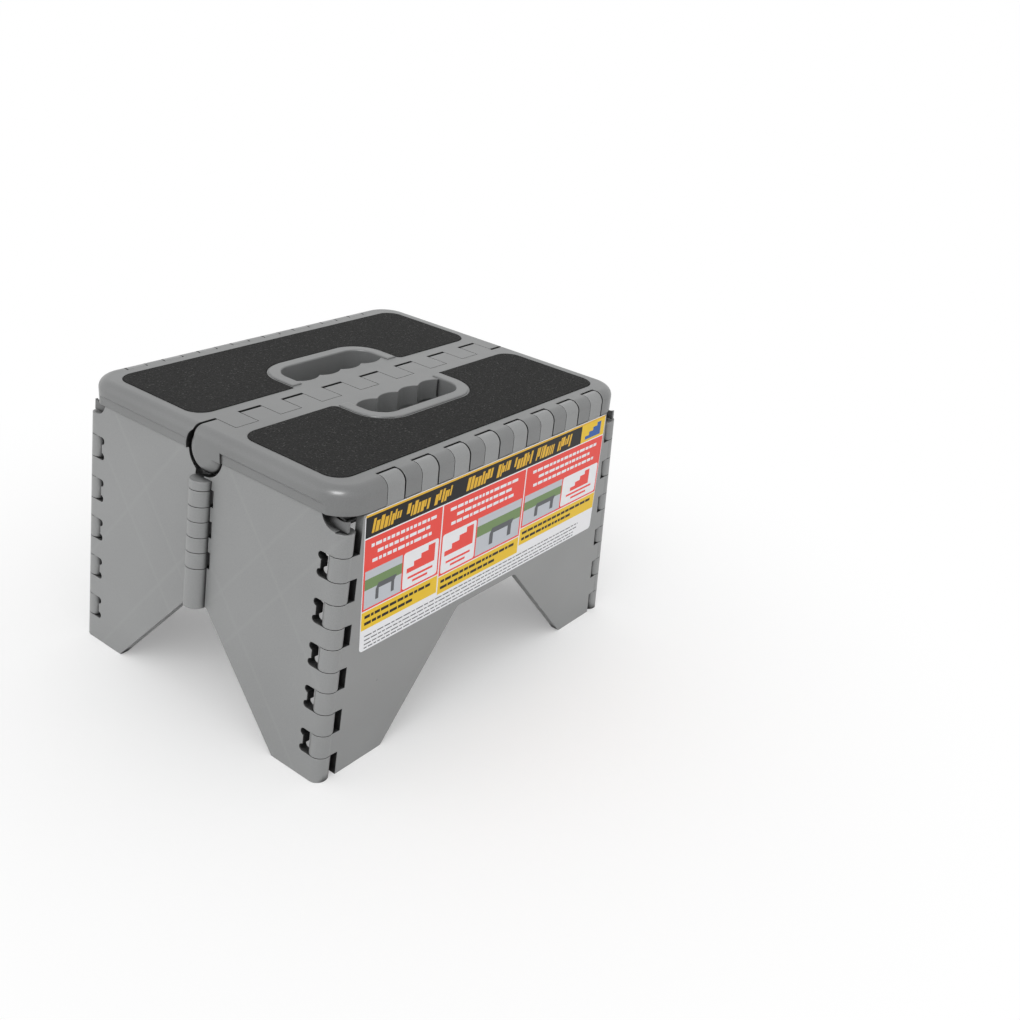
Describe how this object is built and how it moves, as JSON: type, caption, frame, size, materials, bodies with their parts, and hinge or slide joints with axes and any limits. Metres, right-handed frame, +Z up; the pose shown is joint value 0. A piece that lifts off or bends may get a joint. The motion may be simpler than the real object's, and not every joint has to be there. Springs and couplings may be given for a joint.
{
  "type": "folding entry step",
  "caption": "Folding plastic entry step with a wide flat tread, black anti-slip pads, hand holes, moulded knuckle hinges and splayed end walls, shown open.",
  "frame": {"origin": "floor level, under the middle of the open step", "axes": "+X along the hinges and the labelled panel, -Y towards the labelled front panel, +Z up"},
  "size_m": [0.3776, 0.285, 0.2312],
  "materials": {
    "grey_plastic": "fine satin moulded grey",
    "grit_pad": "black grit anti-slip sheet",
    "label_film": "printed adhesive film"
  },
  "bodies": {
    "front_panel": {"front_panel": "grey_plastic", "front_label": "label_film"},
    "front_tread": {"front_tread": "grey_plastic", "front_pad": "grit_pad"},
    "rear_tread": {"rear_tread": "grey_plastic", "rear_pad": "grit_pad"},
    "rear_panel": {"rear_panel": "grey_plastic"},
    "left_front_wall": {"left_front_wall": "grey_plastic"},
    "left_rear_wall": {"left_rear_wall": "grey_plastic"},
    "right_front_wall": {"right_front_wall": "grey_plastic"},
    "right_rear_wall": {"right_rear_wall": "grey_plastic"}
  },
  "joints": [
    {"name": "main_fold", "type": "hinge", "parent": "front_panel", "child": "front_tread", "pos_m": [0, -0.1345, 0.222], "axis": [1, 0, 0], "range_deg": [0, 83]},
    {"name": "centre_fold", "type": "hinge", "parent": "front_tread", "child": "rear_tread", "pos_m": [0, 0, 0.212], "axis": [1, 0, 0], "range_deg": [-166, 0]},
    {"name": "rear_fold", "type": "hinge", "parent": "rear_tread", "child": "rear_panel", "pos_m": [0, 0.1345, 0.222], "axis": [1, 0, 0], "range_deg": [0, 83]},
    {"name": "left_corner_fold", "type": "hinge", "parent": "front_panel", "child": "left_front_wall", "pos_m": [-0.1776, -0.1345, 0], "axis": [0.0872, 0, 0.9962], "range_deg": [-83, 0]},
    {"name": "left_middle_fold", "type": "hinge", "parent": "left_front_wall", "child": "left_rear_wall", "pos_m": [-0.18756, 0, 0.00087], "axis": [0.0872, 0, 0.9962], "range_deg": [0, 166]},
    {"name": "right_corner_fold", "type": "hinge", "parent": "front_panel", "child": "right_front_wall", "pos_m": [0.1776, -0.1345, 0], "axis": [-0.0872, 0, 0.9962], "range_deg": [0, 83]},
    {"name": "right_middle_fold", "type": "hinge", "parent": "right_front_wall", "child": "right_rear_wall", "pos_m": [0.18756, 0, 0.00087], "axis": [-0.0872, 0, 0.9962], "range_deg": [-166, 0]}
  ],
  "couplings": [
    {"joint": "centre_fold", "follows": "main_fold", "ratio": -2},
    {"joint": "rear_fold", "follows": "main_fold", "ratio": 1},
    {"joint": "left_corner_fold", "follows": "main_fold", "ratio": -1},
    {"joint": "left_middle_fold", "follows": "main_fold", "ratio": 2},
    {"joint": "right_corner_fold", "follows": "main_fold", "ratio": 1},
    {"joint": "right_middle_fold", "follows": "main_fold", "ratio": -2}
  ]
}
